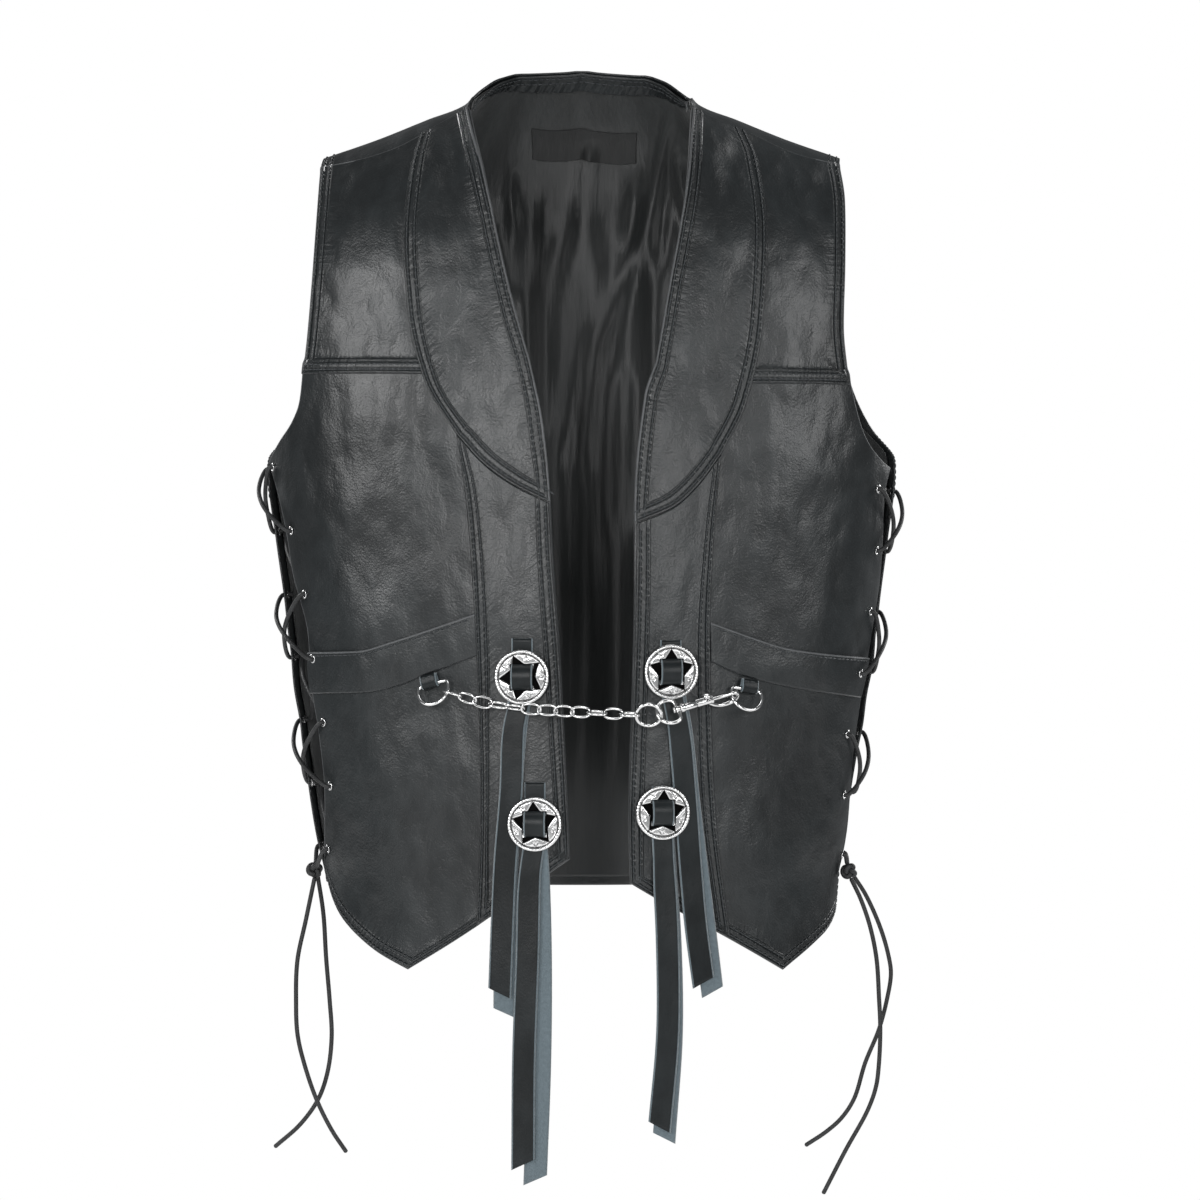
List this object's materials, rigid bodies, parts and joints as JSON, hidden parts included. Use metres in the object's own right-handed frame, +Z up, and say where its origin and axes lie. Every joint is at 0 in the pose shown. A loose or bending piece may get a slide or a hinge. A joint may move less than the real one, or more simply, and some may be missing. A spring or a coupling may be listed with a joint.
{
  "type": "leather vest, worn open on an unseen wearer",
  "caption": "Black leather side-laced vest with shawl lapels, a chain closure, star conchos and hanging thongs, filled out as worn.",
  "frame": {"origin": "between the shoulders, on the middle plane, at the height where the wearer's shoulders hold the vest up", "axes": "+X to the right seen from the front, +Y to the back, +Z up"},
  "size_m": [0.4708, 0.2441, 0.8258],
  "materials": {
    "black_leather": "smooth top grain, soft sheen",
    "thong_leather": "smooth face, grey suede back",
    "lace_leather": "matte lace",
    "black_satin": "satin lining",
    "chrome": "polished"
  },
  "bodies": {
    "vest": {"left_front_yoke": "black_leather", "left_front_panel": "black_leather", "left_lapel": "black_leather", "left_placket": "black_leather", "left_pocket_welt": "black_leather", "left_ring_tab": "black_leather", "right_front_yoke": "black_leather", "right_front_panel": "black_leather", "right_lapel": "black_leather", "right_placket": "black_leather", "right_pocket_welt": "black_leather", "right_ring_tab": "black_leather", "back_panel": "black_leather", "back_neck_facing": "black_leather", "back_lining": "black_satin", "lining_neck_patch": "black_satin", "concho_upper_left": "chrome", "thong_upper_left": "thong_leather", "thong_upper_left_under_layer": "thong_leather", "concho_lower_left": "chrome", "thong_lower_left": "thong_leather", "thong_lower_left_under_layer": "thong_leather", "concho_upper_right": "chrome", "thong_upper_right": "thong_leather", "thong_upper_right_under_layer": "thong_leather", "concho_lower_right": "chrome", "thong_lower_right": "thong_leather", "thong_lower_right_under_layer": "thong_leather", "left_d_ring": "chrome", "right_d_ring": "chrome", "snap_hook": "chrome", "swivel_eye": "chrome", "chain_o_ring": "chrome", "chain_link_01": "chrome", "chain_link_02": "chrome", "chain_link_03": "chrome", "chain_link_04": "chrome", "chain_link_05": "chrome", "chain_link_06": "chrome", "chain_link_07": "chrome", "chain_link_08": "chrome", "chain_link_09": "chrome", "chain_link_10": "chrome", "chain_link_11": "chrome", "chain_link_12": "chrome", "left_side_lace": "lace_leather", "left_lace_knot": "lace_leather", "left_lace_tail_a": "lace_leather", "left_lace_tail_b": "lace_leather", "right_side_lace": "lace_leather", "right_lace_knot": "lace_leather", "right_lace_tail_a": "lace_leather", "right_lace_tail_b": "lace_leather"},
    "bolt": {"snap_hook_bolt": "chrome"}
  },
  "joints": [
    {"name": "bolt_slide", "type": "slide", "parent": "vest", "child": "bolt", "axis": [-0.9191, -0.2961, -0.2601], "range_m": [0, 0.006], "stiffness_N_per_m": 150, "springref_m": -0.004}
  ]
}
